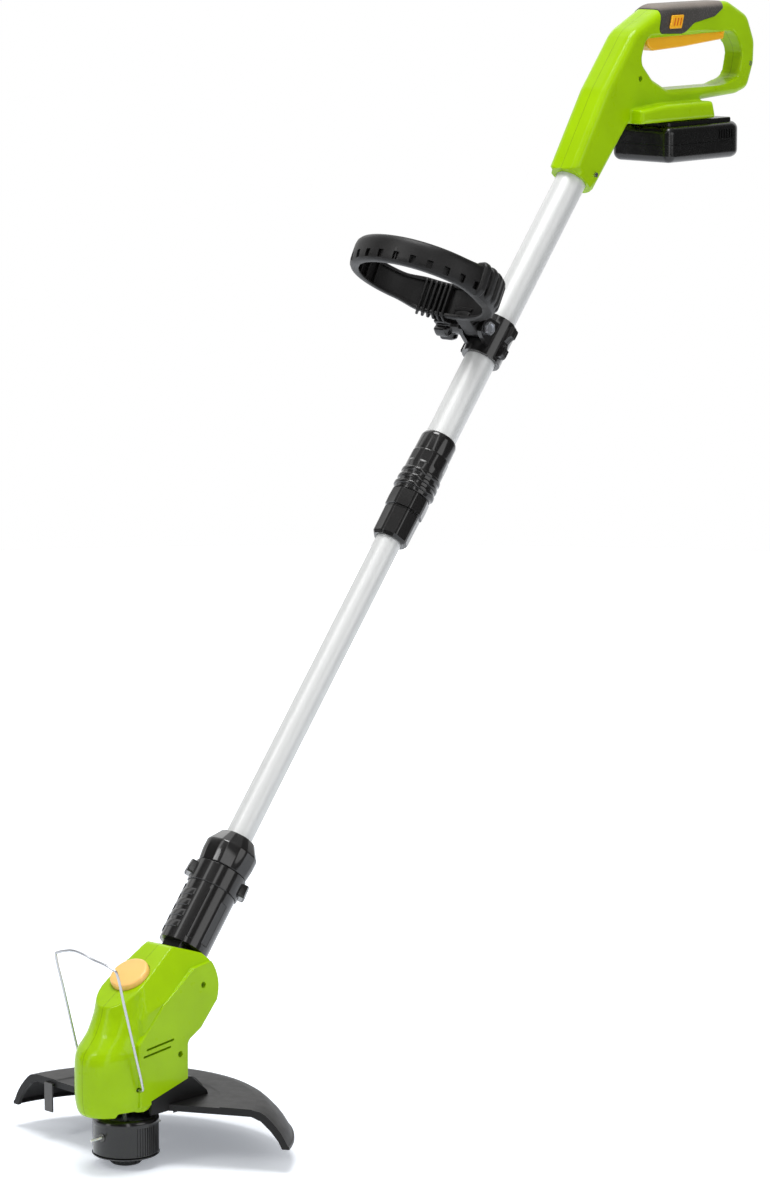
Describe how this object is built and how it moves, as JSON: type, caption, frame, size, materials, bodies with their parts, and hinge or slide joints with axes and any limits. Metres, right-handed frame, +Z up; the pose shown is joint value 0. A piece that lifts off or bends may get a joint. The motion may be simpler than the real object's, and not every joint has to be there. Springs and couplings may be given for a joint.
{
  "type": "string trimmer",
  "caption": "Cordless string trimmer: tilting head with spool and guard, telescoping shaft, adjustable hoop handle, trigger grip and slide-on battery.",
  "frame": {"origin": "foot of the bump knob, under the spool axis", "axes": "+Z up along the spool axis, +X towards the rear handle, so -X is the cutting direction; Y = 0 is the middle plane of shaft and handle"},
  "size_m": [0.9463, 0.2927, 1.0102],
  "materials": {
    "green_shell": "satin",
    "orange_plastic": "satin",
    "peach_plastic": "satin",
    "black_plastic": "satin",
    "battery_plastic": "gloss",
    "grey_plastic": "satin",
    "soft_grip": "matte",
    "alloy_tube": "satin anodised",
    "motor_can": "plain",
    "steel": "plain",
    "brass": "plain",
    "cell_wrap": "film",
    "nylon_line": "plain"
  },
  "bodies": {
    "handle": {"upper_tube": "alloy_tube", "telescope_sleeve": "black_plastic", "telescope_collet": "grey_plastic", "handle_shell_left": "green_shell", "handle_shell_right": "green_shell", "soft_grip": "soft_grip", "power_switch": "black_plastic", "terminal_block": "black_plastic", "contact_plus": "brass", "contact_minus": "brass", "handle_screw_1": "steel", "handle_screw_2": "steel", "handle_screw_3": "steel"},
    "lower_shaft": {"lower_tube": "alloy_tube", "guide_bush": "black_plastic", "neck_cap": "black_plastic"},
    "telescope_nut": {"telescope_nut": "black_plastic"},
    "neck": {"neck_body": "black_plastic", "edging_spring": "steel"},
    "edging_ring": {"edging_ring": "black_plastic"},
    "head": {"head_shell_left": "green_shell", "head_shell_right": "green_shell", "motor": "motor_can", "guard": "black_plastic", "line_cutter": "steel", "head_screw_1": "steel", "head_screw_2": "steel", "tilt_pin": "steel", "tilt_button_spring": "steel"},
    "tilt_button": {"tilt_button": "peach_plastic"},
    "plant_guard": {"plant_guard": "steel"},
    "spool": {"motor_shaft": "steel", "spool_housing": "black_plastic", "spool_cap": "black_plastic", "line_reel": "grey_plastic", "line_winding": "nylon_line", "line_end_a": "nylon_line", "line_end_b": "nylon_line", "bump_spring": "steel"},
    "bump_knob": {"bump_knob": "black_plastic"},
    "clamp": {"clamp_front": "black_plastic", "clamp_rear": "black_plastic", "hoop_bolt": "steel"},
    "hoop": {"hoop": "black_plastic"},
    "wing_knob": {"wing_knob": "black_plastic"},
    "trigger": {"trigger": "orange_plastic"},
    "lock_off_slider": {"lock_off_slider": "orange_plastic"},
    "battery": {"battery_case_lower": "battery_plastic", "battery_case_upper": "battery_plastic", "battery_cell_1": "cell_wrap", "battery_cell_2": "cell_wrap", "battery_cell_3": "cell_wrap", "battery_cell_4": "cell_wrap", "battery_cell_5": "cell_wrap"},
    "battery_latch": {"battery_latch": "grey_plastic"}
  },
  "joints": [
    {"name": "telescope_slide", "type": "slide", "parent": "handle", "child": "lower_shaft", "axis": [0.6347, 0, 0.7727], "range_m": [0, 0.2]},
    {"name": "telescope_nut_turn", "type": "hinge", "parent": "handle", "child": "telescope_nut", "pos_m": [0.37449, 0, 0.54991], "axis": [0.6347, 0, 0.7727], "range_deg": [0, 90]},
    {"name": "edging_twist", "type": "hinge", "parent": "lower_shaft", "child": "neck", "pos_m": [0.1206, 0, 0.24082], "axis": [0.6347, 0, 0.7727], "range_deg": [0, 180]},
    {"name": "edging_ring_pull", "type": "slide", "parent": "neck", "child": "edging_ring", "axis": [-0.6347, 0, -0.7727], "range_m": [0, 0.004], "stiffness_N_per_m": 1200, "springref_m": -0.004, "deforming": ["edging_spring"]},
    {"name": "head_tilt", "type": "hinge", "parent": "neck", "child": "head", "pos_m": [0.04951, 0, 0.15427], "axis": [0, 1, 0], "range_deg": [-40, 0]},
    {"name": "tilt_button_press", "type": "slide", "parent": "head", "child": "tilt_button", "axis": [0.5299, 0, -0.848], "range_m": [0, 0.004], "stiffness_N_per_m": 900, "springref_m": -0.004, "deforming": ["tilt_button_spring"]},
    {"name": "plant_guard_swing", "type": "hinge", "parent": "head", "child": "plant_guard", "pos_m": [-0.015, 0, 0.077], "axis": [0, 1, 0], "range_deg": [-90, 0]},
    {"name": "spool_spin", "type": "hinge", "parent": "head", "child": "spool", "pos_m": [0, 0, 0.03], "axis": [0, 0, 1], "continuous": true},
    {"name": "bump_knob_tap", "type": "slide", "parent": "spool", "child": "bump_knob", "axis": [0, 0, 1], "range_m": [0, 0.003], "stiffness_N_per_m": 800, "springref_m": -0.004, "deforming": ["bump_spring"]},
    {"name": "hoop_clamp_slide", "type": "slide", "parent": "handle", "child": "clamp", "axis": [0.6347, 0, 0.7727], "range_m": [-0.08, 0.12]},
    {"name": "hoop_tilt", "type": "hinge", "parent": "clamp", "child": "hoop", "pos_m": [0.47831, 0, 0.71569], "axis": [0, 1, 0], "range_deg": [-35, 45]},
    {"name": "wing_knob_turn", "type": "hinge", "parent": "clamp", "child": "wing_knob", "pos_m": [0.47831, 0, 0.71569], "axis": [0, 1, 0], "range_deg": [-180, 180]},
    {"name": "trigger_squeeze", "type": "hinge", "parent": "handle", "child": "trigger", "pos_m": [0.83796, 0, 0.9801], "axis": [0, 1, 0], "range_deg": [0, 3.5], "stiffness_Nm_per_rad": 8, "springref_deg": -3.44},
    {"name": "lock_off_slide", "type": "slide", "parent": "handle", "child": "lock_off_slider", "axis": [1, 0, 0], "range_m": [0, 0.004], "stiffness_N_per_m": 300, "springref_m": -0.003},
    {"name": "battery_slide", "type": "slide", "parent": "handle", "child": "battery", "axis": [1, 0, 0], "range_m": [0, 0.08]},
    {"name": "battery_latch_press", "type": "slide", "parent": "battery", "child": "battery_latch", "axis": [0, 0, -1], "range_m": [0, 0.003], "stiffness_N_per_m": 900, "springref_m": -0.003}
  ]
}
